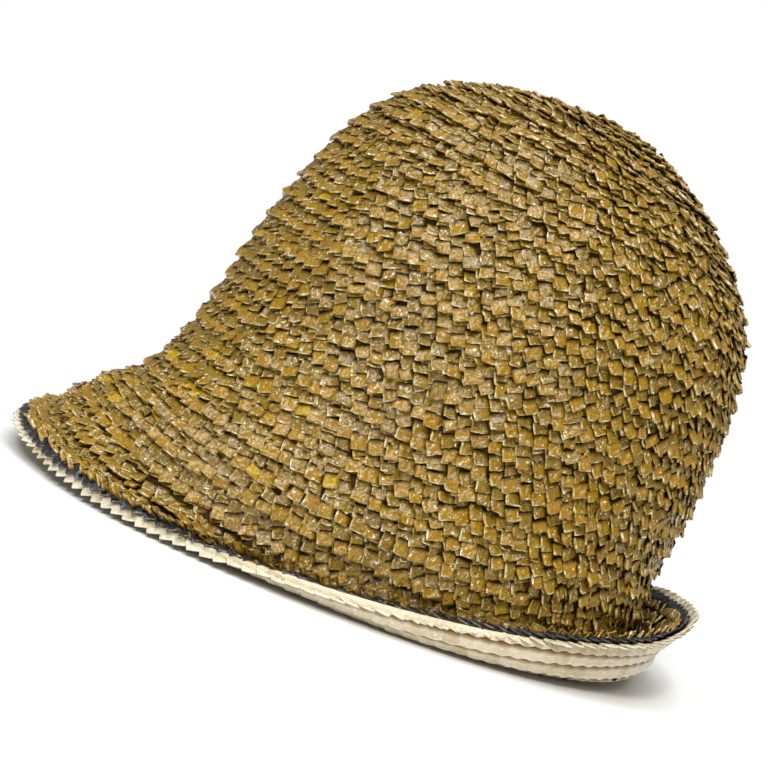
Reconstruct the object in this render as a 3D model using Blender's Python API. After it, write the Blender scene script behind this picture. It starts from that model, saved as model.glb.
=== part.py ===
"""A straw cloche hat: one tan plait sewn in a spiral, a black edge row and a cream facing.

Metres, +Z up. The visor is toward -Y and the turned-up cuff toward +Y. The hat rests on Z = 0 on the
visor's edge and on the fold of the cuff.
"""

import math
from collections import namedtuple

import bmesh
import bpy
import numpy as np

# Overall sizes
CROWN_HEIGHT = 0.1870
VISOR_REACH = 0.1280
CUFF_REACH = 0.1239
HALF_WIDTH = 0.0969

# The plaits
ROWS = 29
TAN_WALL = 0.0014
TAN_LAP = 0.0009
BLACK_WALL = 0.0010
BLACK_SHOWS = 0.0030
CREAM_WALL = 0.0011
CREAM_LAP = 0.0006
CREAM_SHOWS = 0.0034
FACING_ROWS = 4
TIP_HIDES = 0.38
GAP = 0.0003
PRESSED_FLAT = 0.0020

# How finely the rows are divided
COLUMNS = 48
PLAIN_RINGS = (2, 4, 6, 8, 10, 12, 14, 16, 18, 20, 22, 23.5)
BRIM_RINGS = (24.5, 25.25, 26, 26.5, 27, 27.5, 28, 28.5, ROWS)
BLACK_RINGS = (28.2, 28.5, ROWS)
REBATE_RINGS = (28.1, 28.5, ROWS)
SPLIT_FROM = 23
FIRST_CREAM_LIP = 28.4
CREAM_PITCH = 0.8

# Roundness of a row seen from above: 2 is an ellipse, and more is squarer
TIP_ROUNDNESS = 2.0
EDGE_ROUNDNESS = 2.2

Section = namedtuple("Section", "row front_out front_up side_out side_up side_back back_out back_up")

# Where a row runs: down the front, at its widest, and down the back. Heights are shares of CROWN_HEIGHT,
# widths of HALF_WIDTH, lengths to the front of VISOR_REACH and to the back of CUFF_REACH.
SECTIONS = (
    Section(0.0, -0.253, 1.000, 0.000, 1.000, 0.262, 0.262, 1.000),
    Section(1.5, -0.136, 1.000, 0.144, 0.994, 0.262, 0.368, 0.988),
    Section(3.0, -0.022, 0.996, 0.279, 0.976, 0.259, 0.465, 0.962),
    Section(5.0, 0.125, 0.980, 0.444, 0.940, 0.256, 0.595, 0.910),
    Section(7.0, 0.265, 0.942, 0.573, 0.884, 0.247, 0.719, 0.839),
    Section(8.5, 0.359, 0.896, 0.645, 0.831, 0.232, 0.788, 0.787),
    Section(10.0, 0.429, 0.835, 0.702, 0.773, 0.210, 0.846, 0.733),
    Section(13.0, 0.514, 0.707, 0.779, 0.645, 0.189, 0.903, 0.609),
    Section(16.0, 0.579, 0.569, 0.820, 0.515, 0.162, 0.916, 0.480),
    Section(19.0, 0.625, 0.428, 0.846, 0.382, 0.135, 0.910, 0.348),
    Section(22.0, 0.687, 0.290, 0.867, 0.252, 0.089, 0.885, 0.218),
    Section(24.0, 0.758, 0.212, 0.900, 0.168, 0.049, 0.878, 0.131),
    Section(25.5, 0.842, 0.169, 0.903, 0.101, 0.006, 0.859, 0.072),
    Section(26.3, 0.869, 0.143, 0.897, 0.064, -0.014, 0.884, 0.040),
    Section(27.0, 0.903, 0.130, 0.915, 0.030, -0.014, 0.929, 0.053),
    Section(28.0, 0.937, 0.086, 0.984, 0.032, -0.048, 0.949, 0.104),
    Section(29.0, 1.000, 0.069, 1.000, 0.048, -0.110, 1.000, 0.153),
)

STATIONS = np.array([section.row for section in SECTIONS])
SCALES = np.array([VISOR_REACH, CROWN_HEIGHT, HALF_WIDTH, CROWN_HEIGHT, CUFF_REACH, CUFF_REACH, CROWN_HEIGHT])
LENGTHS = np.array([section[1:] for section in SECTIONS]) * SCALES
SLOPES = np.gradient(LENGTHS, STATIONS, axis=0)


def lengths_at(row):
    """Reads the section table smoothly at any row."""
    k = min(max(int(np.searchsorted(STATIONS, row, side="right")) - 1, 0), len(STATIONS) - 2)
    span = STATIONS[k + 1] - STATIONS[k]
    x = (row - STATIONS[k]) / span
    start = (2 * x**3 - 3 * x**2 + 1) * LENGTHS[k] + (x**3 - 2 * x**2 + x) * span * SLOPES[k]
    end = (3 * x**2 - 2 * x**3) * LENGTHS[k + 1] + (x**3 - x**2) * span * SLOPES[k + 1]
    return start + end


def skin(angle, row):
    """A point on the hat's outer surface. Angle 0 is the front, and a quarter turn is the +X side."""
    front_out, front_up, side_out, side_up, side_back, back_out, back_up = lengths_at(row)
    cosine = math.cos(angle)
    sine = math.sin(angle)
    roundness = TIP_ROUNDNESS + (EDGE_ROUNDNESS - TIP_ROUNDNESS) * (row / ROWS) ** 2
    along = math.copysign(abs(cosine) ** (2 / roundness), cosine)
    across = math.copysign(abs(sine) ** (2 / roundness), sine)
    middle = (back_out - front_out) / 2
    half_length = (back_out + front_out) / 2
    y = side_back - half_length * along + (middle - side_back) * along**2
    mean_up = (front_up + back_up) / 2
    z = side_up + (front_up - back_up) / 2 * cosine + (mean_up - side_up) * cosine**2
    return np.array([side_out * across, y, z])


def down_the_hat(angle, row):
    """The unit direction across a row, from the tip toward the edge."""
    step = 0.01
    above = max(row - step, 0)
    below = min(row + step, ROWS)
    run = skin(angle, below) - skin(angle, above)
    return run / np.linalg.norm(run)


def outward(angle, row):
    """The unit normal of the outer surface."""
    if row == 0:
        return np.array([0.0, 0.0, 1.0])
    turn = 0.01
    round_the_hat = skin(angle + turn, row) - skin(angle - turn, row)
    normal = np.cross(down_the_hat(angle, row), round_the_hat)
    return normal / np.linalg.norm(normal)


def layer(angle, row, depth):
    """A point that lies depth inside the outer surface."""
    return skin(angle, row) - depth * outward(angle, row)


def beyond_edge(angle, reach, depth):
    """A point past the tan edge, straight on from it by a reach in metres, and by less at the visor's tip."""
    nearness_to_tip = ((1 + math.cos(angle)) / 2) ** 3
    shown = reach * (1 - TIP_HIDES * nearness_to_tip)
    return layer(angle, ROWS, depth) + shown * down_the_hat(angle, ROWS)


def column_angle(column):
    """The spiral begins and ends at the centre back, at column 0."""
    return math.pi + 2 * math.pi * column / COLUMNS


def material(name, colour, roughness):
    made = bpy.data.materials.new(name)
    made.use_nodes = True
    shader = made.node_tree.nodes["Principled BSDF"]
    shader.inputs["Base Color"].default_value = (*colour, 1.0)
    shader.inputs["Roughness"].default_value = roughness
    shader.inputs["Metallic"].default_value = 0.0
    return made


def middle_of_length():
    """Where the middle of the finished length lies, so that the hat can stand centred on the origin."""
    reach = BLACK_SHOWS + CREAM_SHOWS
    under_black = TAN_WALL + TAN_LAP + GAP + BLACK_WALL + GAP
    depths = (under_black, under_black + CREAM_WALL)
    front = min(beyond_edge(0, reach, depth)[1] for depth in depths)
    back = max(beyond_edge(math.pi, reach, depth)[1] for depth in depths)
    return (front + back) / 2


def add_object(name, points, faces, finish):
    """Makes one closed body from its points and faces."""
    centring = np.array([0.0, middle_of_length(), 0.0])
    mesh = bpy.data.meshes.new(name)
    mesh.from_pydata([tuple(point - centring) for point in points], [], faces)
    shape = bmesh.new()
    shape.from_mesh(mesh)
    bmesh.ops.recalc_face_normals(shape, faces=shape.faces)
    bmesh.ops.triangulate(shape, faces=shape.faces)
    shape.to_mesh(mesh)
    shape.free()
    mesh.materials.append(finish)
    made = bpy.data.objects.new(name, mesh)
    bpy.context.scene.collection.objects.link(made)
    return made


class Builder:
    """Gathers points and faces."""

    def __init__(self):
        self.points = []
        self.faces = []

    def point(self, place):
        self.points.append(place)
        return len(self.points) - 1

    def face(self, *corners):
        self.faces.append(corners)

    def ring(self, place):
        return [self.point(place(column_angle(column))) for column in range(COLUMNS)]

    def band(self, upper, lower):
        """Joins two rings all the way round."""
        for column in range(COLUMNS):
            following = (column + 1) % COLUMNS
            self.face(upper[column], upper[following], lower[following], lower[column])


def crown_and_brim():
    """The tan plait: a spiral of lapped rows outside, and a smooth wall inside."""
    build = Builder()
    last = ROWS * COLUMNS
    tucked = []
    lip = []
    for step in range(last + 1):
        angle = column_angle(step)
        row = step / COLUMNS
        tucked.append(build.point(layer(angle, row, TAN_LAP)))
        lip.append(build.point(layer(angle, row, 0)))
    edge = [lip[last]]
    for column in range(1, COLUMNS):
        edge.append(build.point(layer(column_angle(column), ROWS, 0)))
    lower_line = lip[:last] + edge + [lip[last]]

    for step in range(1, COLUMNS):
        build.face(lip[0], lip[step], lip[step + 1])
    build.face(lip[0], lip[COLUMNS], tucked[0])

    middle = {}
    for step in range((SPLIT_FROM - 1) * COLUMNS, last - COLUMNS + 1):
        row = step / COLUMNS
        middle[step] = build.point(layer(column_angle(step), row + 0.5, TAN_LAP / 2))
    for step in range(last):
        upper = (tucked[step], tucked[step + 1])
        lower = (lower_line[step + COLUMNS], lower_line[step + COLUMNS + 1])
        if step in middle and step + 1 in middle:
            build.face(upper[0], upper[1], middle[step + 1], middle[step])
            build.face(middle[step], middle[step + 1], lower[1], lower[0])
        elif step + 1 in middle:
            build.face(upper[0], upper[1], middle[step + 1], lower[1], lower[0])
        elif step in middle:
            build.face(upper[0], upper[1], lower[1], lower[0], middle[step])
        else:
            build.face(upper[0], upper[1], lower[1], lower[0])
        build.face(lip[step], lip[step + 1], tucked[step + 1], tucked[step])

    inside = TAN_WALL + TAN_LAP
    below = edge
    for row in reversed(PLAIN_RINGS + BRIM_RINGS):
        ring = build.ring(lambda angle: layer(angle, row, inside))
        build.band(ring, below)
        below = ring
    centre = build.point(layer(0, 0, inside))
    for column in range(COLUMNS):
        build.face(centre, below[column], below[(column + 1) % COLUMNS])
    return add_object("crown_and_brim", build.points, build.faces, material("tan_straw", (0.35, 0.21, 0.05), 0.35))


def black_edge_row():
    """The black plait: one row under the tan edge."""
    build = Builder()
    top = TAN_WALL + TAN_LAP + GAP
    bottom = top + BLACK_WALL
    rings = []
    for row in BLACK_RINGS:
        rings.append(build.ring(lambda angle: layer(angle, row, top)))
    for depth in (top, bottom):
        rings.append(build.ring(lambda angle: beyond_edge(angle, BLACK_SHOWS, depth)))
    for row in reversed(BLACK_RINGS):
        rings.append(build.ring(lambda angle: layer(angle, row, bottom)))
    for upper, lower in zip(rings, rings[1:] + rings[:1]):
        build.band(upper, lower)
    return add_object("black_edge_row", build.points, build.faces, material("black_straw", (0.02, 0.02, 0.022), 0.4))


def on_the_ground(place):
    """The facing is pressed flat where it rests."""
    height = place[2] if place[2] > PRESSED_FLAT else 0.0
    return np.array([place[0], place[1], height])


def cream_facing():
    """The cream plait: an edge row past the black one, and lapped rows under the brim."""
    build = Builder()
    top = TAN_WALL + TAN_LAP + GAP
    under_black = top + BLACK_WALL + GAP
    reach = BLACK_SHOWS + CREAM_SHOWS
    inner_end = FIRST_CREAM_LIP - (FACING_ROWS - 1) * CREAM_PITCH

    rings = []
    for row in BRIM_RINGS:
        if inner_end <= row < REBATE_RINGS[0]:
            rings.append(build.ring(lambda angle: layer(angle, row, top)))
    rings.append(build.ring(lambda angle: layer(angle, REBATE_RINGS[0], top)))
    for row in REBATE_RINGS:
        rings.append(build.ring(lambda angle: layer(angle, row, under_black)))
    rings.append(build.ring(lambda angle: beyond_edge(angle, reach, under_black)))

    edge_depth = under_black + CREAM_WALL
    rings.append(build.ring(lambda angle: on_the_ground(beyond_edge(angle, reach, edge_depth))))
    rings.append(build.ring(lambda angle: on_the_ground(layer(angle, ROWS, edge_depth))))
    rings.append(build.ring(lambda angle: on_the_ground(layer(angle, FIRST_CREAM_LIP, edge_depth))))
    start_depth = top + CREAM_WALL
    for facing_row in range(1, FACING_ROWS):
        start = FIRST_CREAM_LIP - (facing_row - 1) * CREAM_PITCH
        for share in (0, 0.5, 1):
            row = start - share * CREAM_PITCH
            depth = start_depth + share * CREAM_LAP
            rings.append(build.ring(lambda angle: on_the_ground(layer(angle, row, depth))))
    for upper, lower in zip(rings, rings[1:] + rings[:1]):
        build.band(upper, lower)
    return add_object("cream_facing", build.points, build.faces, material("cream_straw", (0.75, 0.68, 0.5), 0.4))


def main():
    for leftover in list(bpy.data.objects):
        bpy.data.objects.remove(leftover)
    crown_and_brim()
    black_edge_row()
    cream_facing()


main()
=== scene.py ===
"""The look of a straw cloche hat: glossy tan plait, a black edge row and a cream facing.

Metres, +Z up, in the same frame as the solid model. The visor is toward -Y and the cuff toward +Y.
"""

import math
from collections import namedtuple

import bpy
import numpy as np
from mathutils import Matrix, Vector


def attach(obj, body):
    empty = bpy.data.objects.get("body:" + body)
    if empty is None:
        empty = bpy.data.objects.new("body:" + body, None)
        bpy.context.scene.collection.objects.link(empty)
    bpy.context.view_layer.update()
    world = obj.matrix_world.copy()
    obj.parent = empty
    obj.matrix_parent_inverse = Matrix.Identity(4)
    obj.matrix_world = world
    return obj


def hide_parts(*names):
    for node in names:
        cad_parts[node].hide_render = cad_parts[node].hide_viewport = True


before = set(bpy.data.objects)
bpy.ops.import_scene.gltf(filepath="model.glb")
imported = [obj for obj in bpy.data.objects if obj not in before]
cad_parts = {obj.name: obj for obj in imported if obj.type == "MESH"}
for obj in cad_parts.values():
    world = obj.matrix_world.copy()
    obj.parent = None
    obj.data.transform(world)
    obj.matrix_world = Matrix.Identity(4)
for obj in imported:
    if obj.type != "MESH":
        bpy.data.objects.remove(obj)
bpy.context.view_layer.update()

# Overall sizes, the same as the solid model's
CROWN_HEIGHT = 0.1870
VISOR_REACH = 0.1280
CUFF_REACH = 0.1239
HALF_WIDTH = 0.0969
ROWS = 29
TAN_WALL = 0.0014
TAN_LAP = 0.0009
BLACK_WALL = 0.0010
BLACK_SHOWS = 0.0030
CREAM_WALL = 0.0011
CREAM_SHOWS = 0.0034
FACING_ROWS = 6
TIP_HIDES = 0.38
GAP = 0.0003
FIRST_CREAM_LIP = 28.35
SIDE_PITCH = 0.36
BACK_PITCH = 0.56
TIP_ROUNDNESS = 2.0
EDGE_ROUNDNESS = 2.2

Section = namedtuple("Section", "row front_out front_up side_out side_up side_back back_out back_up")

# Where a row runs: down the front, at its widest, and down the back. Heights are shares of CROWN_HEIGHT,
# widths of HALF_WIDTH, lengths to the front of VISOR_REACH and to the back of CUFF_REACH.
SECTIONS = (
    Section(0.0, -0.253, 1.000, 0.000, 1.000, 0.262, 0.262, 1.000),
    Section(1.5, -0.136, 1.000, 0.144, 0.994, 0.262, 0.368, 0.988),
    Section(3.0, -0.022, 0.996, 0.279, 0.976, 0.259, 0.465, 0.962),
    Section(5.0, 0.125, 0.980, 0.444, 0.940, 0.256, 0.595, 0.910),
    Section(7.0, 0.265, 0.942, 0.573, 0.884, 0.247, 0.719, 0.839),
    Section(8.5, 0.359, 0.896, 0.645, 0.831, 0.232, 0.788, 0.787),
    Section(10.0, 0.429, 0.835, 0.702, 0.773, 0.210, 0.846, 0.733),
    Section(13.0, 0.514, 0.707, 0.779, 0.645, 0.189, 0.903, 0.609),
    Section(16.0, 0.579, 0.569, 0.820, 0.515, 0.162, 0.916, 0.480),
    Section(19.0, 0.625, 0.428, 0.846, 0.382, 0.135, 0.910, 0.348),
    Section(22.0, 0.687, 0.290, 0.867, 0.252, 0.089, 0.885, 0.218),
    Section(24.0, 0.758, 0.212, 0.900, 0.168, 0.049, 0.878, 0.131),
    Section(25.5, 0.842, 0.169, 0.903, 0.101, 0.006, 0.859, 0.072),
    Section(26.3, 0.869, 0.143, 0.897, 0.064, -0.014, 0.884, 0.040),
    Section(27.0, 0.903, 0.130, 0.915, 0.030, -0.014, 0.929, 0.053),
    Section(28.0, 0.937, 0.086, 0.984, 0.032, -0.048, 0.949, 0.104),
    Section(29.0, 1.000, 0.069, 1.000, 0.048, -0.110, 1.000, 0.153),
)
STATIONS = np.array([section.row for section in SECTIONS])
SCALES = np.array([VISOR_REACH, CROWN_HEIGHT, HALF_WIDTH, CROWN_HEIGHT, CUFF_REACH, CUFF_REACH, CROWN_HEIGHT])
LENGTHS = np.array([section[1:] for section in SECTIONS]) * SCALES
SLOPES = np.gradient(LENGTHS, STATIONS, axis=0)

# Past the tan edge, rows are counted on at this width
EDGE_ROW = 0.008

EdgeTurn = namedtuple("EdgeTurn", "cosine straight outward downward")

# They run straight on at the visor's tip and at the back, and droop outward along the sides. The first
# number is the cosine of the angle, the others are shares.
EDGE_TURNS = (
    EdgeTurn(-1.00, 1.0, 0.0, 0.0),
    EdgeTurn(-0.97, 1.0, 0.0, 0.0),
    EdgeTurn(-0.85, 0.2, 0.9, 0.10),
    EdgeTurn(-0.50, 0.0, 0.9, 0.20),
    EdgeTurn(0.00, 0.0, 0.9, 0.40),
    EdgeTurn(0.30, 0.0, 0.6, 0.80),
    EdgeTurn(0.80, 0.0, 0.4, 0.90),
    EdgeTurn(0.95, 1.0, 0.0, 0.00),
    EdgeTurn(1.00, 1.0, 0.0, 0.00),
)

# The camera, as far as the photograph gives it
CAMERA_DISTANCE = 0.556
CAMERA_AZIMUTH = 90.0
CAMERA_ELEVATION = 3.5
CAMERA_ROLL = 22.0
CAMERA_AIM_BACK = -0.00994
CAMERA_AIM_UP = 0.0670
SENSOR_WIDTH = 36.0
LENS = 69.5

# How far apart two points lie that give a slope, in rows and in radians
SLOPE_STEP = 0.01


def lengths_at(rows):
    """Reads the section table smoothly at any rows."""
    k = np.clip(np.searchsorted(STATIONS, rows, side="right") - 1, 0, len(STATIONS) - 2)
    span = STATIONS[k + 1] - STATIONS[k]
    x = ((rows - STATIONS[k]) / span)[:, None]
    span = span[:, None]
    start = (2 * x**3 - 3 * x**2 + 1) * LENGTHS[k] + (x**3 - 2 * x**2 + x) * span * SLOPES[k]
    end = (3 * x**2 - 2 * x**3) * LENGTHS[k + 1] + (x**3 - x**2) * span * SLOPES[k + 1]
    return start + end


def skin(angles, rows):
    """Points on the outer surface. Angle 0 is the front, and a quarter turn is the +X side."""
    front_out, front_up, side_out, side_up, side_back, back_out, back_up = lengths_at(rows).T
    cosine = np.cos(angles)
    sine = np.sin(angles)
    roundness = TIP_ROUNDNESS + (EDGE_ROUNDNESS - TIP_ROUNDNESS) * (rows / ROWS) ** 2
    along = np.copysign(np.abs(cosine) ** (2 / roundness), cosine)
    across = np.copysign(np.abs(sine) ** (2 / roundness), sine)
    middle = (back_out - front_out) / 2
    half_length = (back_out + front_out) / 2
    y = side_back - half_length * along + (middle - side_back) * along**2
    mean_up = (front_up + back_up) / 2
    z = side_up + (front_up - back_up) / 2 * cosine + (mean_up - side_up) * cosine**2
    return np.stack([side_out * across, y, z], axis=1)


def unit(vectors):
    return vectors / np.linalg.norm(vectors, axis=1)[:, None]


Ground = namedtuple("Ground", "point normal down around down_rate around_rate")


def surface(angles, rows):
    """The surface at each angle and row: point, unit directions, and metres for each row and radian."""
    angles = np.asarray(angles, float)
    rows = np.asarray(rows, float)
    inner = np.clip(rows, 5 * SLOPE_STEP, ROWS)
    above = np.clip(inner - SLOPE_STEP, 0, ROWS)
    below = np.clip(inner + SLOPE_STEP, 0, ROWS)
    down = (skin(angles, below) - skin(angles, above)) / (below - above)[:, None]
    around = (skin(angles + SLOPE_STEP, inner) - skin(angles - SLOPE_STEP, inner)) / (2 * SLOPE_STEP)
    down_rate = np.linalg.norm(down, axis=1)
    around_rate = np.linalg.norm(around, axis=1)
    normal = unit(np.cross(down, around))
    point = skin(angles, inner)
    past = np.clip(rows - ROWS, 0, None)[:, None] * EDGE_ROW
    down = unit(down)
    around = unit(around)
    beyond = edge_direction(angles, down, around)
    point = point + beyond * past
    over_edge = (rows > ROWS)[:, None]
    normal = np.where(over_edge, unit(np.cross(beyond, around)), normal)
    down = np.where(over_edge, beyond, down)
    down_rate = np.where(rows >= ROWS, EDGE_ROW, down_rate)
    return Ground(point, normal, down, around, down_rate, around_rate)


def edge_direction(angles, down, around):
    """Which way the rows past the tan edge run at each angle."""
    cosines, *shares = np.array(EDGE_TURNS).T
    straight, outward, downward = (np.interp(np.cos(angles), cosines, share)[:, None] for share in shares)
    away = down - (down * around).sum(axis=1)[:, None] * around
    level = unit(away * (1.0, 1.0, 0.0))
    return unit(down * straight + level * outward - np.array([0.0, 0.0, 1.0]) * downward)


def edge_row(angles, reach):
    """The row number of a line past the tan edge. The edge rows show less at the visor's tip."""
    nearness_to_tip = ((1 + np.cos(angles)) / 2) ** 3
    return ROWS + reach * (1 - TIP_HIDES * nearness_to_tip) / EDGE_ROW


def middle_of_length():
    """Where the middle of the finished length lies, so that the hat stands centred on the origin."""
    reach = BLACK_SHOWS + CREAM_SHOWS
    under_black = TAN_WALL + TAN_LAP + GAP + BLACK_WALL + GAP
    depths = np.array([under_black, under_black + CREAM_WALL])
    front = surface([0.0, 0.0], edge_row(np.zeros(2), reach))
    back = surface([math.pi] * 2, edge_row(np.full(2, math.pi), reach))
    front_end = (front.point - depths[:, None] * front.normal)[:, 1].min()
    back_end = (back.point - depths[:, None] * back.normal)[:, 1].max()
    return (front_end + back_end) / 2


CENTRING = np.array([0.0, middle_of_length(), 0.0])


def at_depth(angles, rows, depths):
    """Points that lie a depth inside the outer surface, in the hat's own place."""
    ground = surface(angles, rows)
    return ground.point - np.asarray(depths)[..., None] * ground.normal - CENTRING


# Objects


def new_object(name, points, faces):
    mesh = bpy.data.meshes.new(name)
    mesh.from_pydata([tuple(point) for point in points], [], faces)
    mesh.update()
    made = bpy.data.objects.new(name, mesh)
    bpy.context.scene.collection.objects.link(made)
    return made


def band_mesh(outer, inner):
    """Points and faces of a wall between two grids of points: rings of columns."""
    rings, columns = outer.shape[:2]
    points = np.concatenate([outer.reshape(-1, 3), inner.reshape(-1, 3)])
    second = rings * columns
    faces = []
    for ring in range(rings - 1):
        for column in range(columns):
            following = (column + 1) % columns
            a = ring * columns + column
            b = ring * columns + following
            c = b + columns
            d = a + columns
            faces.append((a, d, c, b))
            faces.append((second + a, second + b, second + c, second + d))
    for ring in (0, rings - 1):
        for column in range(columns):
            following = (column + 1) % columns
            a = ring * columns + column
            b = ring * columns + following
            if ring:
                faces.append((a, second + a, second + b, b))
            else:
                faces.append((a, b, second + b, second + a))
    return points, faces


def closed_shell(name, outer, inner, finish):
    """A closed wall, the first ring nearest the tip."""
    made = new_object(name, *band_mesh(outer, inner))
    made.data.shade_smooth()
    made.data.materials.append(finish)
    return made


# Plait cells

# A cell's grid, in shares of its width and height. The first strip is the fold along its edge.
CELL_SHARES = (0.0, 0.10, 0.38, 0.68, 1.0)

CellShape = namedtuple("CellShape", "name left_fold bottom_fold right_fold top_fold dome twist thickness")

CELL_SHAPES = (
    CellShape("cell_0_folded", 0.26, 0.26, -0.15, 0.00, 0.22, 0.10, 0.75),
    CellShape("cell_1_rolled", 0.34, 0.12, 0.10, -0.10, 0.40, 0.25, 0.80),
    CellShape("cell_2_curled", 0.12, 0.34, 0.25, 0.00, -0.15, -0.30, 0.75),
    CellShape("cell_3_flat", 0.12, 0.10, 0.00, 0.00, 0.12, 0.10, 0.60),
    CellShape("cell_4_bent", 0.22, 0.08, 0.20, 0.10, -0.25, 0.28, 0.60),
    CellShape("cell_5_twisted", 0.10, 0.20, -0.20, 0.15, 0.30, -0.40, 0.70),
)
MILLIMETRE = 0.001
# How strongly each edge strip takes the pale fold colour, a painted highlight on the rounded folds
RIM_SHARES = {0.0: 1.0, 0.10: 0.45}
# The cut edge, a cell's skirt, is marked for painted shade
CUT_EDGE = -1.0
CORNER_DRAWN_IN = 0.04
ROLLED_DOWN = 0.4
SKIRT_SHARE = 0.97


def fold_height(fold, share):
    """A rounded ridge just inside an edge, rolled down at the edge itself."""
    return {CELL_SHARES[0]: -ROLLED_DOWN * fold, CELL_SHARES[1]: fold}.get(share, 0.0)


def cell_height(shape, u, v):
    """How proud a cell is, in millimetres, at a share u across and v up."""
    height = shape.dome * (1 - (2 * u - 1) ** 2) * (1 - (2 * v - 1) ** 2)
    height += fold_height(shape.left_fold, u) + fold_height(shape.bottom_fold, v)
    height += shape.right_fold * max(0.0, (u - CELL_SHARES[3]) / (1 - CELL_SHARES[3]))
    height += shape.top_fold * max(0.0, (v - CELL_SHARES[3]) / (1 - CELL_SHARES[3]))
    return height + shape.twist * (2 * u - 1) * (2 * v - 1)


def make_cell(shape, collection):
    """One cell of the plait, a metre square and a millimetre-scaled thickness, centred on its origin."""
    side = len(CELL_SHARES)
    points = []
    rims = []
    places = []
    for v in CELL_SHARES:
        for u in CELL_SHARES:
            corner = u in (0.0, 1.0) and v in (0.0, 1.0)
            draw_in = 1 - CORNER_DRAWN_IN * corner
            points.append(((u - 0.5) * draw_in, (v - 0.5) * draw_in, cell_height(shape, u, v)))
            rims.append(max(RIM_SHARES.get(u, 0.0), RIM_SHARES.get(v, 0.0)))
            places.append((u, v))
    faces = []
    for row in range(side - 1):
        for column in range(side - 1):
            a = row * side + column
            faces.append((a, a + 1, a + side + 1, a + side))
    edge = list(range(side))
    edge += [row * side + side - 1 for row in range(1, side)]
    edge += [(side - 1) * side + column for column in range(side - 2, -1, -1)]
    edge += [row * side for row in range(side - 2, 0, -1)]
    # The skirt takes the cut-edge mark, which the finish turns into painted shade
    skirt = []
    for index in edge:
        x, y, z = points[index]
        skirt.append(len(points))
        points.append((x * SKIRT_SHARE, y * SKIRT_SHARE, z - shape.thickness))
        rims.append(CUT_EDGE)
        places.append(places[index])
    for k, index in enumerate(edge):
        after = (k + 1) % len(edge)
        faces.append((index, skirt[k], skirt[after], edge[after]))
    mesh = bpy.data.meshes.new(shape.name)
    mesh.from_pydata(points, [], faces)
    mesh.update()
    rim = mesh.attributes.new("rim", "FLOAT", "POINT")
    rim.data.foreach_set("value", rims)
    layer = mesh.uv_layers.new(name="cell")
    for loop in mesh.loops:
        layer.data[loop.index].uv = places[loop.vertex_index]
    made = bpy.data.objects.new(shape.name, mesh)
    collection.objects.link(made)
    return made


def cell_collection():
    """The cell shapes, kept out of the scene."""
    collection = bpy.data.collections.new("cell_shapes")
    for shape in CELL_SHAPES:
        make_cell(shape, collection)
    return collection


# Geometry nodes


def add_node(tree, kind, **settings):
    node = tree.nodes.new(kind)
    for key, value in settings.items():
        setattr(node, key, value)
    return node


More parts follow.
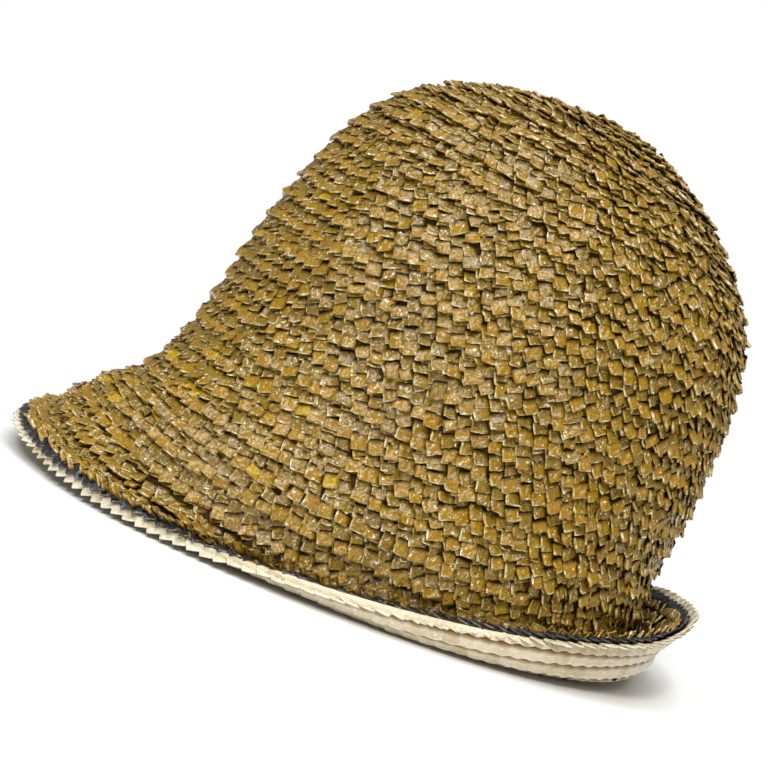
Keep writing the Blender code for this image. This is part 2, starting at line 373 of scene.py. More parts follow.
def cell_tree():
    """Lays a cell on every guide point, uneven by a fixed seed, and crumples the result."""
    tree = bpy.data.node_groups.new("lay_cells", "GeometryNodeTree")
    face = tree.interface
    face.new_socket("Geometry", in_out="INPUT", socket_type="NodeSocketGeometry")
    for name, kind in (
        ("Cell Shapes", "NodeSocketCollection"),
        ("Finish", "NodeSocketMaterial"),
        ("Tilt", "NodeSocketFloat"),
        ("Turn", "NodeSocketFloat"),
        ("Uneven Size", "NodeSocketFloat"),
        ("Crumple Depth", "NodeSocketFloat"),
        ("Crumple Scale", "NodeSocketFloat"),
        ("Seed", "NodeSocketInt"),
    ):
        face.new_socket(name, in_out="INPUT", socket_type=kind)
    face.new_socket("Geometry", in_out="OUTPUT", socket_type="NodeSocketGeometry")
    link = tree.links.new
    given = add_node(tree, "NodeGroupInput").outputs
    result = add_node(tree, "NodeGroupOutput")

    def attribute(name, kind):
        node = add_node(tree, "GeometryNodeInputNamedAttribute", data_type=kind)
        node.inputs["Name"].default_value = name
        return node.outputs["Attribute"]

    def math_node(operation, *values):
        node = add_node(tree, "ShaderNodeMath", operation=operation)
        for k, value in enumerate(values):
            if isinstance(value, (int, float)):
                node.inputs[k].default_value = value
            else:
                link(value, node.inputs[k])
        return node.outputs[0]

    def scaled(vector, amount):
        node = add_node(tree, "ShaderNodeVectorMath", operation="SCALE")
        link(vector, node.inputs[0])
        link(amount, node.inputs["Scale"])
        return node.outputs[0]

    def random_vector(offset, low, high):
        node = add_node(tree, "FunctionNodeRandomValue", data_type="FLOAT_VECTOR")
        node.inputs["Min"].default_value = low
        node.inputs["Max"].default_value = high
        link(math_node("ADD", given["Seed"], offset), node.inputs["Seed"])
        return node.outputs["Value"]

    axes = add_node(tree, "FunctionNodeAxesToRotation", primary_axis="Z", secondary_axis="X")
    link(attribute("facing", "FLOAT_VECTOR"), axes.inputs["Primary Axis"])
    link(attribute("run", "FLOAT_VECTOR"), axes.inputs["Secondary Axis"])
    angles = add_node(tree, "ShaderNodeCombineXYZ")
    link(given["Tilt"], angles.inputs["X"])
    link(given["Tilt"], angles.inputs["Y"])
    link(given["Turn"], angles.inputs["Z"])
    shaken = add_node(tree, "ShaderNodeVectorMath", operation="MULTIPLY")
    link(angles.outputs[0], shaken.inputs[0])
    link(random_vector(1, (-1, -1, -1), (1, 1, 1)), shaken.inputs[1])
    turned = add_node(tree, "FunctionNodeEulerToRotation")
    link(shaken.outputs[0], turned.inputs[0])
    rotation = add_node(tree, "FunctionNodeRotateRotation", rotation_space="LOCAL")
    link(axes.outputs[0], rotation.inputs["Rotation"])
    link(turned.outputs[0], rotation.inputs["Rotate By"])

    change = scaled(random_vector(2, (-1, -1, 0), (1, 1, 0)), given["Uneven Size"])
    grown = add_node(tree, "ShaderNodeVectorMath", operation="ADD")
    grown.inputs[1].default_value = (1, 1, 1)
    link(change, grown.inputs[0])
    size = add_node(tree, "ShaderNodeVectorMath", operation="MULTIPLY")
    link(grown.outputs[0], size.inputs[0])
    link(attribute("size", "FLOAT_VECTOR"), size.inputs[1])

    shapes = add_node(tree, "GeometryNodeCollectionInfo")
    link(given["Cell Shapes"], shapes.inputs["Collection"])
    shapes.inputs["Separate Children"].default_value = True
    shapes.inputs["Reset Children"].default_value = True
    cells = add_node(tree, "GeometryNodeInstanceOnPoints")
    link(given["Geometry"], cells.inputs["Points"])
    link(shapes.outputs[0], cells.inputs["Instance"])
    cells.inputs["Pick Instance"].default_value = True
    link(attribute("shape", "INT"), cells.inputs["Instance Index"])
    link(rotation.outputs[0], cells.inputs["Rotation"])
    link(size.outputs[0], cells.inputs["Scale"])
    real = add_node(tree, "GeometryNodeRealizeInstances")
    link(cells.outputs[0], real.inputs[0])

    noise = add_node(tree, "ShaderNodeTexNoise", noise_dimensions="3D")
    link(given["Crumple Scale"], noise.inputs["Scale"])
    noise.inputs["Detail"].default_value = 1.0
    centred = add_node(tree, "ShaderNodeVectorMath", operation="SUBTRACT")
    centred.inputs[1].default_value = (0.5, 0.5, 0.5)
    link(noise.outputs["Color"], centred.inputs[0])
    amount = math_node("MULTIPLY", given["Crumple Depth"], attribute("crumple", "FLOAT"))
    moved = add_node(tree, "GeometryNodeSetPosition")
    link(real.outputs[0], moved.inputs["Geometry"])
    link(scaled(centred.outputs[0], amount), moved.inputs["Offset"])
    finished = add_node(tree, "GeometryNodeSetMaterial")
    link(moved.outputs[0], finished.inputs["Geometry"])
    link(given["Finish"], finished.inputs["Material"])
    link(finished.outputs[0], result.inputs[0])
    return tree


def set_modifier_input(modifier, name, value):
    for item in modifier.node_group.interface.items_tree:
        if item.item_type == "SOCKET" and item.in_out == "INPUT" and item.name == name:
            modifier[item.identifier] = value


# How loosely cells lie: degrees of tilt and turn, a share of their size, and metres of crumple
Looseness = namedtuple("Looseness", "tilt turn uneven crumple")

LOOSE_OUTSIDE = Looseness(12, 12, 0.20, 0.0019)
LOOSE_INSIDE = Looseness(4, 4, 0.06, 0.0005)
LOOSE_EDGE = Looseness(4, 4, 0.05, 0.0004)


def lay_cells(name, cells, finish, looseness, seed):
    """Turns a table of cells into one plain mesh."""
    guide = new_object(name + "_guide", cells["point"], [])
    for key, kind, field in (
        ("facing", "FLOAT_VECTOR", "vector"),
        ("run", "FLOAT_VECTOR", "vector"),
        ("size", "FLOAT_VECTOR", "vector"),
        ("shape", "INT", "value"),
        ("tone", "FLOAT", "value"),
        ("kind", "FLOAT", "value"),
        ("gold", "FLOAT", "value"),
        ("crumple", "FLOAT", "value"),
    ):
        layer = guide.data.attributes.new(key, kind, "POINT")
        layer.data.foreach_set(field, np.ascontiguousarray(cells[key]).ravel())
    modifier = guide.modifiers.new("cells", "NODES")
    modifier.node_group = CELL_TREE
    set_modifier_input(modifier, "Cell Shapes", CELLS)
    set_modifier_input(modifier, "Finish", finish)
    set_modifier_input(modifier, "Tilt", math.radians(looseness.tilt))
    set_modifier_input(modifier, "Turn", math.radians(looseness.turn))
    set_modifier_input(modifier, "Uneven Size", looseness.uneven)
    set_modifier_input(modifier, "Crumple Depth", looseness.crumple)
    set_modifier_input(modifier, "Crumple Scale", CRUMPLE_SCALE)
    set_modifier_input(modifier, "Seed", seed)
    piece = baked(guide, name)
    press_flat(piece)
    return piece


def press_flat(piece):
    """Straw that would reach into the table lies flat on it instead."""
    points = np.empty(len(piece.data.vertices) * 3, dtype=np.float32)
    piece.data.vertices.foreach_get("co", points)
    points[2::3] = np.maximum(points[2::3], RESTING_HEIGHT)
    piece.data.vertices.foreach_set("co", points)
    piece.data.update()


def baked(source, name):
    """Replaces a live object by the plain mesh that it makes."""
    graph = bpy.context.evaluated_depsgraph_get()
    live = source.evaluated_get(graph)
    mesh = bpy.data.meshes.new_from_object(live, preserve_all_data_layers=True, depsgraph=graph)
    mesh.name = name
    bpy.data.objects.remove(source)
    made = bpy.data.objects.new(name, mesh)
    bpy.context.scene.collection.objects.link(made)
    return made


# The plaits

Plait = namedtuple(
    "Plait",
    "tooth width height slant tip_slant drawn_in lines lip_shift lip_depth tucked_depth outside tipward"
    " left_up bottom_up drift",
)


LINE_SPACING = 0.97
TILE_OVERLAP = 1.08
FIRST_ROW_OUT = 0.12
DEPTH_DRIFT = 0.00012
CRUMPLED_SHARE = 0.28

# Which cell shapes lie where, the commoner ones named more than once
TUCKED_SHAPES = (3, 3, 4, 5)
LIP_SHAPES = (0, 0, 1, 1, 2, 3, 5)
EDGE_SHAPES = (3, 3, 4)


def plait_cells(angles, rows, plait, dice):
    """Cells along a lip: a saw-toothed line of slanted tiles, with more lines tucked in behind it."""
    nearness_to_tip = ((1 + np.cos(angles)) / 2) ** 2
    slant = np.radians(plait.slant + (plait.tip_slant - plait.slant) * nearness_to_tip)
    sine = np.sin(slant)
    cosine = np.cos(slant)
    tables = []
    for line in range(plait.lines):
        reach = plait.lip_shift + (line + 0.5) * plait.height * LINE_SPACING
        reach = reach + plait.drawn_in * plait.width * sine / 2
        lip = surface(angles, rows)
        side = 1.0 if plait.outside else -1.0
        up = -lip.down if plait.tipward else lip.down
        run = np.cross(up, side * lip.normal)
        sense = np.sign((run * lip.around).sum(axis=1))
        new_angles = angles - sense * sine * reach / lip.around_rate
        climb = cosine * reach / lip.down_rate
        new_rows = rows - climb if plait.tipward else rows + climb
        new_rows = np.clip(new_rows, FIRST_ROW_OUT, None)
        here = surface(new_angles, new_rows)
        up = -here.down if plait.tipward else here.down
        normal = side * here.normal
        run = unit(np.cross(up, normal))
        climbed = cosine * reach
        fall = (plait.tucked_depth - plait.lip_depth) / EDGE_ROW
        depth = plait.lip_depth + fall * climbed
        first = cosine[:, None] * run + sine[:, None] * up
        second = cosine[:, None] * up - sine[:, None] * run
        facing = unit(
            normal + side * fall * up + math.tan(math.radians(plait.left_up)) * first
            + math.tan(math.radians(plait.bottom_up)) * second
        )
        count = len(angles)
        kind = np.full(count, float(line > 0))
        depth = depth + dice.normal(0, DEPTH_DRIFT, count) + DEPTH_DRIFT * min(line, 1) * side
        point = here.point - depth[:, None] * here.normal - CENTRING
        point = point + dice.normal(0, plait.drift, (count, 1)) * first
        point = point + dice.normal(0, plait.drift, (count, 1)) * second
        size = np.empty((count, 3))
        size[:, 0] = plait.width
        size[:, 1] = plait.height * TILE_OVERLAP
        size[:, 2] = MILLIMETRE
        flat_shapes = dice.choice(TUCKED_SHAPES, count)
        proud_shapes = dice.choice(LIP_SHAPES if plait.lines > 1 else EDGE_SHAPES, count)
        crumpled = dice.random(count) < CRUMPLED_SHARE
        tables.append(
            {
                "point": point,
                "facing": facing,
                "run": first,
                "size": size,
                "shape": np.where(line > 0, flat_shapes, proud_shapes).astype(np.int32),
                "tone": dice.random(count),
                "kind": kind,
                "gold": (dice.random(count) < GOLD_SHARE * nearness_to_tip).astype(float),
                "crumple": np.where(crumpled, 1.0, 0.5) * dice.uniform(0.7, 1.3, count),
            }
        )
    return joined(tables)


def joined(tables):
    return {key: np.concatenate([table[key] for table in tables]) for key in tables[0]}


def spiral_teeth(first_turn, last_turn, tooth):
    """Where the teeth of the tan spiral fall, evenly spaced along its lip."""
    turns = np.linspace(TIP_START, ROWS + 1, SPIRAL_STEPS)
    angles = math.pi + 2 * math.pi * turns
    rows = np.minimum(turns, ROWS)
    line = skin(angles, rows)
    travelled = np.concatenate([[0], np.cumsum(np.linalg.norm(np.diff(line, axis=0), axis=1))])
    marks = np.arange(tooth / 2, travelled[-1], tooth)
    found = np.interp(marks, travelled, turns)
    found = found[(found >= first_turn) & (found < last_turn)]
    return math.pi + 2 * math.pi * found, np.minimum(found, ROWS)


def ring_length(row_at):
    """Angles all the way round a line, and how far along it they lie."""
    angles = np.linspace(0, 2 * math.pi, RING_STEPS)
    line = surface(angles, row_at(angles)).point
    return angles, np.concatenate([[0], np.cumsum(np.linalg.norm(np.diff(line, axis=0), axis=1))])


def ring_places(row_at, count):
    """Evenly spaced angles all the way round along a line that gives the row for each angle."""
    angles, travelled = ring_length(row_at)
    return np.interp(np.arange(count) * travelled[-1] / count, travelled, angles)


def ring_teeth(row_at, tooth):
    """Teeth all the way round along a line."""
    found = ring_places(row_at, round(ring_length(row_at)[1][-1] / tooth))
    return found, row_at(found)


def level_row(row):
    return lambda angles: np.full(len(angles), float(row))


def facing_pitch(angles):
    """How wide the facing's rows show, in rows of the crown: less along the sides than at the back."""
    return np.interp(np.cos(angles), (-0.7, 0.1), (BACK_PITCH, SIDE_PITCH))


def facing_lip(k):
    """The k-th lip of the facing."""
    return lambda angles: FIRST_CREAM_LIP - k * facing_pitch(angles)


def facing_top(angles):
    """Where the facing ends: under the cream edge row, which droops along the sides."""
    cosines, tops = np.array(FACING_TOPS).T
    return np.interp(np.cos(angles), cosines, tops)


TIP_START = 0.35
SPIRAL_STEPS = 30000
RING_STEPS = 3001
CRUMPLE_SCALE = 520.0
GOLD_SHARE = 0.02
RESTING_HEIGHT = 0.0001
INSIDE_ROWS = range(1, 27)
UNDERLAYER_DEPTH = 0.0018
UNDERLAYER_THICKNESS = 0.0004
UNDERLAYER_COLUMNS = 144
UNDERLAYER_ENDS = ROWS - 0.25

TAN_PLAIT = Plait(
    tooth=0.0055, width=0.0056, height=0.0047, slant=31, tip_slant=31, drawn_in=0, lines=3, lip_shift=0.0004,
    lip_depth=-0.0002, tucked_depth=0.0011, outside=True, tipward=True, left_up=8, bottom_up=5, drift=0.0004,
)
INSIDE_PLAIT = TAN_PLAIT._replace(
    tooth=0.0080, width=0.0082, height=0.0058, lines=2, lip_depth=0.0034, tucked_depth=0.0028,
    outside=False, tipward=False,
)
BLACK_PLAIT = TAN_PLAIT._replace(
    tooth=0.0044, width=0.0046, height=0.0036, slant=20, tip_slant=42, drawn_in=0.2, lines=1, lip_shift=0.0,
    lip_depth=0.0008, tucked_depth=0.0012, left_up=4, bottom_up=2, drift=0.0001,
)
CREAM_EDGE = BLACK_PLAIT._replace(
    tooth=0.0048, width=0.0054, height=0.0046, slant=14, drawn_in=0.4, lip_depth=0.0022, tucked_depth=0.0024
)

# The facing's rows, in shares from lip to tucked edge. A row gets painted shade where the one above it laps
# over, and its lip the pale fold colour, a painted highlight.
FACING_TEETH = 120
FACING_STEPS = 5
FACING_TOPS = ((-0.97, 29.25), (-0.85, 28.65), (0.80, 28.65), (0.95, 29.20))
FACING_SHARES = (0.0, 0.10, 0.30, 0.52, 0.74, 1.0)
FACING_RIMS = (1.0, 0.5, 0.0, 0.0, 0.0, 0.0)
FACING_COVERED = 1.35
FACING_SLANT = 0.8
FACING_LIP_DEPTH = 0.0041
FACING_TUCKED_DEPTH = 0.0031
FACING_SHADED = 1.6
FIRST_SHADED = 0.7
FACING_DOME = 0.0006
FACING_LAP = 0.0004
FACING_THICKNESS = 0.0006
SCALLOP = 0.0007


# Finishes

# Colours: fold for proud lip cells; body for tucked cells, darker as partly painted shade; dull and gold for
# tone that differs at random; rim for pale flecks and the painted highlight on folds; a near-white colour for
# painted glints; a dark colour for fibre streaks and painted shade. The last two numbers are the side and top
# amounts of painted shade.
Straw = namedtuple(
    "Straw", "name fold body dull deep rim gold spark roughness bump coat shine side_dark top_dark"
)

TAN = Straw(
    "tan_straw", fold=(0.370, 0.198, 0.003), body=(0.295, 0.170, 0.006), dull=(0.200, 0.120, 0.012),
    deep=(0.020, 0.007, 0.000), rim=(0.66, 0.50, 0.17), gold=(0.50, 0.31, 0.003),
    spark=(0.90, 0.84, 0.64), roughness=0.20, bump=1.0, coat=0.8, shine=0.25, side_dark=0.6, top_dark=1.0,
)
BLACK = Straw(
    "black_straw", fold=(0.028, 0.028, 0.031), body=(0.020, 0.020, 0.023), dull=(0.014, 0.014, 0.016),
    deep=(0.003, 0.003, 0.003), rim=(0.10, 0.10, 0.11), gold=(0.03, 0.03, 0.03),
    spark=(0.20, 0.20, 0.22), roughness=0.30, bump=0.5, coat=0.3, shine=0.5, side_dark=0.6, top_dark=0.8,
)
CREAM = Straw(
    "cream_straw", fold=(0.80, 0.73, 0.54), body=(0.76, 0.67, 0.47), dull=(0.56, 0.45, 0.24),
    deep=(0.22, 0.115, 0.028), rim=(0.86, 0.80, 0.64), gold=(0.68, 0.59, 0.38),
    spark=(0.94, 0.92, 0.84), roughness=0.36, bump=0.6, coat=0.2, shine=0.5, side_dark=0.15, top_dark=1.0,
)
# The straw under the cells, nearly black: painted shade for the gaps between the cells
PAINTED_SHADE_BACKING = Straw(
    "tan_underlayer", fold=(0.05, 0.026, 0.005), body=(0.04, 0.021, 0.004), dull=(0.03, 0.016, 0.004),
    deep=(0.015, 0.007, 0.002), rim=(0.06, 0.035, 0.01), gold=(0.04, 0.021, 0.004),
    spark=(0.06, 0.035, 0.01), roughness=0.7, bump=0.3, coat=0.0, shine=0.1, side_dark=0.0, top_dark=0.0,
)


# How fine each pattern is, in waves to a metre, and the heights of the ripples, creases and fibres
BLOTCHES = 60.0
FLECKS = 900.0
PAINTED_GLINT_SPOTS = 760.0
FOLD_HIGHLIGHT_PATCHES = 420.0
GLOSS_CHANGES = 330.0
RIPPLES = 620.0
CREASES = 700.0
RIPPLE_HEIGHT = 0.0006
CREASE_HEIGHT = 0.0005
FIBRE_HEIGHT = 0.00015
FIBRE_STRETCH = (1.2, 9.0, 1.0)
FIBRES = 2.2
CELL_TO_CELL = 97.0


def straw_finish(straw):
    """Lacquered straw: each cell has its own tone, fibres along the strip and fine creases, with a painted
    highlight on pale folds, painted glints, and painted shade where cells tuck under, along their right sides
    and on their cut edges.
    """
    made = bpy.data.materials.new(straw.name)
    made.use_nodes = True
    tree = made.node_tree
    link = tree.links.new
    shader = tree.nodes["Principled BSDF"]
    shader.inputs["Coat Roughness"].default_value = 0.06
    shader.inputs["IOR"].default_value = 1.5

    def attribute(name):
        return add_node(tree, "ShaderNodeAttribute", attribute_name=name).outputs["Fac"]

    def colour_mix(amount, first, second):
        node = add_node(tree, "ShaderNodeMix", data_type="RGBA")
        for value, socket in ((amount, node.inputs[0]), (first, node.inputs[6]), (second, node.inputs[7])):
            if isinstance(value, tuple):
                socket.default_value = (*value, 1.0)
            elif isinstance(value, float):
                socket.default_value = value
            else:
                link(value, socket)
        return node.outputs[2]

    def ramp(value, low, high, to_low=0.0, to_high=1.0):
        node = add_node(tree, "ShaderNodeMapRange", clamp=True)
        link(value, node.inputs["Value"])
        node.inputs["From Min"].default_value = low
        node.inputs["From Max"].default_value = high
        node.inputs["To Min"].default_value = to_low
        node.inputs["To Max"].default_value = to_high
        return node.outputs[0]

    def noise(scale, detail, coordinate):
        node = add_node(tree, "ShaderNodeTexNoise")
        node.inputs["Scale"].default_value = scale
        node.inputs["Detail"].default_value = detail
        link(coordinate, node.inputs["Vector"])
        return node.outputs["Fac"]

    place = add_node(tree, "ShaderNodeTexCoord").outputs["Object"]
    cell = add_node(tree, "ShaderNodeUVMap", uv_map="cell").outputs["UV"]
    stretch = add_node(tree, "ShaderNodeMapping")
    link(cell, stretch.inputs["Vector"])
    stretch.inputs["Scale"].default_value = FIBRE_STRETCH
    tone = attribute("tone")
    shift = add_node(tree, "ShaderNodeCombineXYZ")
    link(tone, shift.inputs["Z"])
    spread = add_node(tree, "ShaderNodeVectorMath", operation="MULTIPLY_ADD")
    link(shift.outputs[0], spread.inputs[0])
    spread.inputs[1].default_value = (0.0, 0.0, CELL_TO_CELL)
    link(stretch.outputs[0], spread.inputs[2])
    fibres = noise(FIBRES, 3.0, spread.outputs[0])

    # Proud lip cells take the fold colour, tucked cells the darker, greyer body colour, which is partly
    # painted shade from the row above
    base = colour_mix(attribute("kind"), straw.fold, straw.body)
    base = colour_mix(ramp(tone, 0.55, 1.0, 0.0, 0.75), base, straw.dull)
    base = colour_mix(ramp(noise(BLOTCHES, 2.0, place), 0.45, 0.75, 0.0, 0.45), base, straw.dull)
    # Fibre streaks, the straw's own grain, darken toward the dark colour that also serves for painted shade
    base = colour_mix(ramp(fibres, 0.52, 0.75, 0.0, 0.5), base, straw.deep)
    base = colour_mix(ramp(noise(FLECKS, 2.0, place), 0.58, 0.75, 0.0, 0.35), base, straw.rim)
    # Painted glints: near-white spots scattered by noise over the straw
    base = colour_mix(ramp(noise(PAINTED_GLINT_SPOTS, 3.0, place), 0.635, 0.690, 0.0, 0.85), base, straw.spark)
    base = colour_mix(ramp(attribute("gold"), 0.0, 1.0, 0.0, 0.85), base, straw.gold)
    across = add_node(tree, "ShaderNodeSeparateXYZ")
    link(cell, across.inputs[0])
    # Painted highlight along the folded edges: patches of the pale fold colour, and rarer near-white painted
    # glints
    folds = ramp(attribute("rim"), 0.4, 1.0)
    for low, high, colour in ((0.40, 0.56, straw.rim), (0.58, 0.64, straw.spark)):
        fold_highlight = add_node(tree, "ShaderNodeMath", operation="MULTIPLY")
        link(folds, fold_highlight.inputs[0])
        link(ramp(noise(FOLD_HIGHLIGHT_PATCHES, 2.0, place), low, high, 0.0, 0.95), fold_highlight.inputs[1])
        base = colour_mix(fold_highlight.outputs[0], base, colour)
    # Painted shade: each cell darkens at its tucked top where the next lip laps over, along its right side
    # and on its cut edges, and loses shine and coat there
    top_shade = ramp(across.outputs["Y"], 0.64, 0.94, 0.0, straw.top_dark)
    side_shade = ramp(across.outputs["X"], 0.78, 0.96, 0.0, straw.side_dark)
    cut_shade = ramp(attribute("rim"), -0.8, 0.0, 0.95, 0.0)
    shade = add_node(tree, "ShaderNodeMath", operation="MAXIMUM")
    link(top_shade, shade.inputs[0])
    link(side_shade, shade.inputs[1])
    all_shade = add_node(tree, "ShaderNodeMath", operation="MAXIMUM")
    link(shade.outputs[0], all_shade.inputs[0])
    link(cut_shade, all_shade.inputs[1])
    base = colour_mix(all_shade.outputs[0], base, straw.deep)
    shine = ramp(all_shade.outputs[0], 0.0, 1.0, straw.shine, straw.shine * 0.1)
    link(shine, shader.inputs["Specular IOR Level"])
    link(ramp(all_shade.outputs[0], 0.0, 1.0, straw.coat, 0.0), shader.inputs["Coat Weight"])
    link(base, shader.inputs["Base Color"])

    gloss = noise(GLOSS_CHANGES, 2.0, place)
    link(ramp(gloss, 0.3, 0.7, straw.roughness - 0.14, straw.roughness + 0.2), shader.inputs["Roughness"])

    creases = add_node(tree, "ShaderNodeTexVoronoi", feature="SMOOTH_F1")
    creases.inputs["Scale"].default_value = CREASES
    link(place, creases.inputs["Vector"])
    ripples = add_node(tree, "ShaderNodeBump")
    ripples.inputs["Strength"].default_value = straw.bump
    ripples.inputs["Distance"].default_value = RIPPLE_HEIGHT
    link(noise(RIPPLES, 2.5, place), ripples.inputs["Height"])
    creased = add_node(tree, "ShaderNodeBump")
    creased.inputs["Strength"].default_value = straw.bump * 0.7
    creased.inputs["Distance"].default_value = CREASE_HEIGHT
    link(creases.outputs["Distance"], creased.inputs["Height"])
    link(ripples.outputs[0], creased.inputs["Normal"])
    streaks = add_node(tree, "ShaderNodeBump")
    streaks.inputs["Strength"].default_value = straw.bump * 0.5
    streaks.inputs["Distance"].default_value = FIBRE_HEIGHT
    link(fibres, streaks.inputs["Height"])
    link(creased.outputs[0], streaks.inputs["Normal"])
    link(streaks.outputs[0], shader.inputs["Normal"])
    link(streaks.outputs[0], shader.inputs["Coat Normal"])
    return made


def floor_finish():
    made = bpy.data.materials.new("pale_floor")
    made.use_nodes = True
    shader = made.node_tree.nodes["Principled BSDF"]
    shader.inputs["Base Color"].default_value = (0.90, 0.90, 0.90, 1.0)
    shader.inputs["Roughness"].default_value = 0.7
    return made


CELLS = cell_collection()
CELL_TREE = cell_tree()
TAN_FINISH = straw_finish(TAN)
BLACK_FINISH = straw_finish(BLACK)
CREAM_FINISH = straw_finish(CREAM)
BACKING_FINISH = straw_finish(PAINTED_SHADE_BACKING)


# Pieces


def hold(piece, slot, *nodes):
    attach(piece, "root")
    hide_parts(*nodes)


def tan_rows(name, first_turn, last_turn, seed):
    dice = np.random.default_rng(seed)
    angles, rows = spiral_teeth(first_turn, last_turn, TAN_PLAIT.tooth)
    cells = plait_cells(angles, rows, TAN_PLAIT, dice)
    piece = lay_cells(name, cells, TAN_FINISH, LOOSE_OUTSIDE, seed)
    hold(piece, "tan_straw", "crown_and_brim")
    return piece


def inside_rows(name, seed):
    """The plait seen from inside the crown, each row lapped over the one above it."""
    dice = np.random.default_rng(seed)
    tables = []
    for row in INSIDE_ROWS:
        angles, rows = ring_teeth(level_row(row), INSIDE_PLAIT.tooth)
        tables.append(plait_cells(angles, rows, INSIDE_PLAIT, dice))
    piece = lay_cells(name, joined(tables), TAN_FINISH, LOOSE_INSIDE, seed)
    hold(piece, "tan_straw", "crown_and_brim")
    return piece


def underlayer():
    """The straw beneath the cells, coloured nearly black as painted shade in the gaps between them, one
    closed wall.
    """
    rows = np.concatenate([[0.02, 0.5], np.arange(1, ROWS + 0.01, 0.5)])
    angles = np.linspace(0, 2 * math.pi, UNDERLAYER_COLUMNS, endpoint=False)
    outer = np.empty((len(rows), UNDERLAYER_COLUMNS, 3))
    inner = np.empty((len(rows), UNDERLAYER_COLUMNS, 3))
    for k, row in enumerate(rows):
        spread = np.full(UNDERLAYER_COLUMNS, min(row, UNDERLAYER_ENDS))
        outer[k] = at_depth(angles, spread, np.full(UNDERLAYER_COLUMNS, UNDERLAYER_DEPTH))
        depth = np.full(UNDERLAYER_COLUMNS, UNDERLAYER_DEPTH + UNDERLAYER_THICKNESS)
        inner[k] = at_depth(angles, spread, depth)
    piece = closed_shell("tan_underlayer", outer, inner, BACKING_FINISH)
    hold(piece, "tan_straw", "crown_and_brim")
    return piece


def edge_rows():
    dice = np.random.default_rng(31)
    angles, rows = ring_teeth(lambda angles: edge_row(angles, BLACK_SHOWS), BLACK_PLAIT.tooth)
    cells = plait_cells(angles, rows, BLACK_PLAIT, dice)
    black = lay_cells("black_edge_row", cells, BLACK_FINISH, LOOSE_EDGE, 31)
    hold(black, "black_straw", "black_edge_row")
    angles, rows = ring_teeth(lambda angles: edge_row(angles, BLACK_SHOWS + CREAM_SHOWS), CREAM_EDGE.tooth)
    cells = plait_cells(angles, rows, CREAM_EDGE, dice)
    cream = lay_cells("cream_edge_row", cells, CREAM_FINISH, LOOSE_EDGE, 32)
    hold(cream, "cream_straw", "cream_facing")


def facing_band(k, dice):
    """One lapped row of the facing: a closed band with a scalloped lip, its cells lapped like shingles."""
    teeth = FACING_TEETH
    columns = teeth * FACING_STEPS
    # The share is stretched so that the painted shade falls just under the lip of the band above; the first
    # band gets only a thin line of it at its top
    shaded = FACING_SHADED if k else FIRST_SHADED
    shares = np.array(FACING_SHARES)
    turned = ring_places(facing_lip(k), columns)
    in_tooth = np.tile(np.arange(FACING_STEPS), teeth) / FACING_STEPS
    tall = np.repeat(dice.uniform(0.8, 1.2, teeth), FACING_STEPS)
    proud = np.repeat(dice.uniform(0.6, 1.4, teeth), FACING_STEPS)
    tone = np.repeat(dice.random(teeth), FACING_STEPS)
    scallop = SCALLOP * tall * (np.sin(math.pi * in_tooth) - 0.5)
    height = FACING_COVERED * facing_pitch(turned) if k else facing_top(turned) - facing_lip(0)(turned)
    outer = np.empty((len(FACING_SHARES), columns, 3))
    inner = np.empty((len(FACING_SHARES), columns, 3))
    for ring, share in enumerate(FACING_SHARES):
        lip = facing_lip(k)(turned)
        rows = np.minimum(lip + share * height - (1 - share) * scallop / EDGE_ROW, facing_top(turned))
        slanted = (in_tooth + share * FACING_SLANT) % 1.0
        lapped = FACING_LAP * proud * (1 - slanted) * (1 - 0.5 * share)
        depth = FACING_LIP_DEPTH + share * (FACING_TUCKED_DEPTH - FACING_LIP_DEPTH)
        depth += FACING_DOME * share * (1 - share)
        outer[ring] = at_depth(turned, rows, depth + lapped - FACING_THICKNESS)
        inner[ring] = at_depth(turned, rows, depth + lapped)
    points, faces = band_mesh(outer, inner)
    rims = np.array(FACING_RIMS).repeat(columns)
    return {
        "points": points,
        "faces": faces,
        "tone": np.tile(tone, 2 * len(shares)),
        # The side toward the tan takes the cut-edge painted shade, and the lip the pale fold colour as
        # painted highlight
        "rim": np.concatenate([np.full(len(rims), CUT_EDGE), rims]),
        "share": np.tile(np.minimum(shares * shaded, 1.0).repeat(columns), 2),
        "across": np.tile(in_tooth, 2 * len(shares)),
    }


def facing_bands(name, seed):
    dice = np.random.default_rng(seed)
    bands = [facing_band(k, dice) for k in range(FACING_ROWS + 1)]
    points = np.concatenate([band["points"] for band in bands])
    faces = []
    start = 0
    for band in bands:
        faces += [tuple(start + corner for corner in face) for face in band["faces"]]
        start += len(band["points"])
    piece = new_object(name, points, faces)
    for key in ("tone", "rim"):
        layer = piece.data.attributes.new(key, "FLOAT", "POINT")
        layer.data.foreach_set("value", np.concatenate([band[key] for band in bands]))
    for key, value in (("kind", 1.0), ("gold", 0.0)):
        layer = piece.data.attributes.new(key, "FLOAT", "POINT")
        layer.data.foreach_set("value", np.full(len(points), value))
    share = np.concatenate([band["share"] for band in bands])
    across = np.concatenate([band["across"] for band in bands])
    layer = piece.data.uv_layers.new(name="cell")
    corners = np.empty(len(piece.data.loops), dtype=np.int32)
    piece.data.loops.foreach_get("vertex_index", corners)
    places = np.stack([across[corners], share[corners]], axis=1)
    layer.data.foreach_set("uv", places.astype(np.float32).ravel())
    piece.data.materials.append(CREAM_FINISH)
    press_flat(piece)
    hold(piece, "cream_straw", "cream_facing")


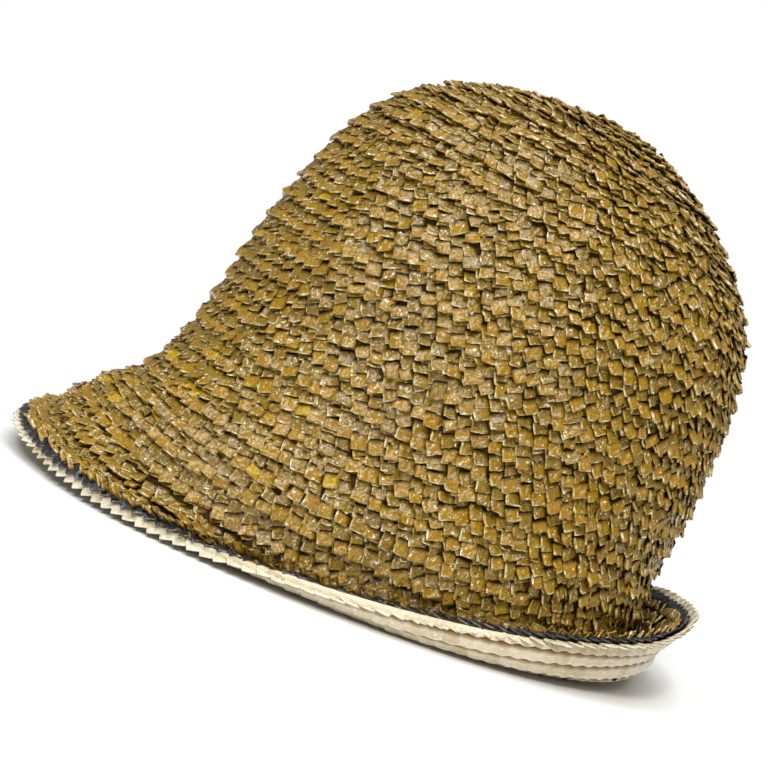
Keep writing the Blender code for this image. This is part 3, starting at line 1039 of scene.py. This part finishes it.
def camera():
    azimuth = math.radians(CAMERA_AZIMUTH)
    elevation = math.radians(CAMERA_ELEVATION)
    roll = math.radians(CAMERA_ROLL)
    back = Vector((
        math.sin(azimuth) * math.cos(elevation), -math.cos(azimuth) * math.cos(elevation), math.sin(elevation)
    ))
    level_right = Vector((0, 0, 1)).cross(back).normalized()
    level_up = back.cross(level_right)
    right = math.cos(roll) * level_right + math.sin(roll) * level_up
    up = -math.sin(roll) * level_right + math.cos(roll) * level_up
    data = bpy.data.cameras.new("camera")
    data.sensor_width = SENSOR_WIDTH
    data.lens = LENS
    data.clip_start = 0.01
    made = bpy.data.objects.new("camera", data)
    aim = Vector((0.0, CAMERA_AIM_BACK - CENTRING[1], CAMERA_AIM_UP))
    made.matrix_world = Matrix.Translation(aim + back * CAMERA_DISTANCE) @ Matrix(
        (right, up, back)
    ).transposed().to_4x4()
    bpy.context.scene.collection.objects.link(made)
    bpy.context.scene.camera = made


FarLight = namedtuple("FarLight", "name azimuth elevation spread strength")

LIGHTS = (
    FarLight("key_light", 74, 44, 9, 1.05),
    FarLight("fill_light", 88, 9, 12, 0.35),
    FarLight("top_light", 95, 74, 50, 2.6),
)
ROOM_LIGHT = 0.18
FLOOR_HALF = 3.0
FLOOR_LEVEL = -0.0002


def far_light(name, azimuth, elevation, spread, strength):
    """A broad light far away, so that the table is lit evenly. Azimuth 90 is the camera's side."""
    turn = math.radians(azimuth)
    lift = math.radians(elevation)
    away = Vector((math.sin(turn) * math.cos(lift), -math.cos(turn) * math.cos(lift), math.sin(lift)))
    data = bpy.data.lights.new(name, "SUN")
    data.energy = strength
    data.angle = math.radians(spread)
    made = bpy.data.objects.new(name, data)
    made.location = away
    made.rotation_euler = away.to_track_quat("Z", "Y").to_euler()
    bpy.context.scene.collection.objects.link(made)


def studio():
    world = bpy.data.worlds.new("studio")
    world.use_nodes = True
    tree = world.node_tree
    room = tree.nodes["Background"]
    room.inputs["Color"].default_value = (1.0, 1.0, 1.0, 1.0)
    room.inputs["Strength"].default_value = ROOM_LIGHT
    backdrop = add_node(tree, "ShaderNodeBackground")
    backdrop.inputs["Strength"].default_value = 1.0
    seen = add_node(tree, "ShaderNodeLightPath")
    either = add_node(tree, "ShaderNodeMixShader")
    tree.links.new(seen.outputs["Is Camera Ray"], either.inputs[0])
    tree.links.new(room.outputs[0], either.inputs[1])
    tree.links.new(backdrop.outputs[0], either.inputs[2])
    tree.links.new(either.outputs[0], tree.nodes["World Output"].inputs[0])
    backdrop.inputs["Color"].default_value = (1.0, 1.0, 1.0, 1.0)
    bpy.context.scene.world = world
    bpy.context.scene.view_settings.view_transform = "Standard"
    for light in LIGHTS:
        far_light(*light)
    corners = [(FLOOR_HALF * x, FLOOR_HALF * y, FLOOR_LEVEL) for x, y in ((-1, -1), (1, -1), (1, 1), (-1, 1))]
    floor = new_object("floor", corners, [(0, 1, 2, 3)])
    floor.data.materials.append(floor_finish())


tan_rows("crown_top_plait", 0.0, 13.0, 11)
tan_rows("crown_side_plait", 13.0, 22.0, 12)
tan_rows("brim_plait", 22.0, ROWS + 1.01, 13)
underlayer()
inside_rows("inside_plait", 21)
edge_rows()
facing_bands("cream_facing_rows", 33)
camera()
studio()
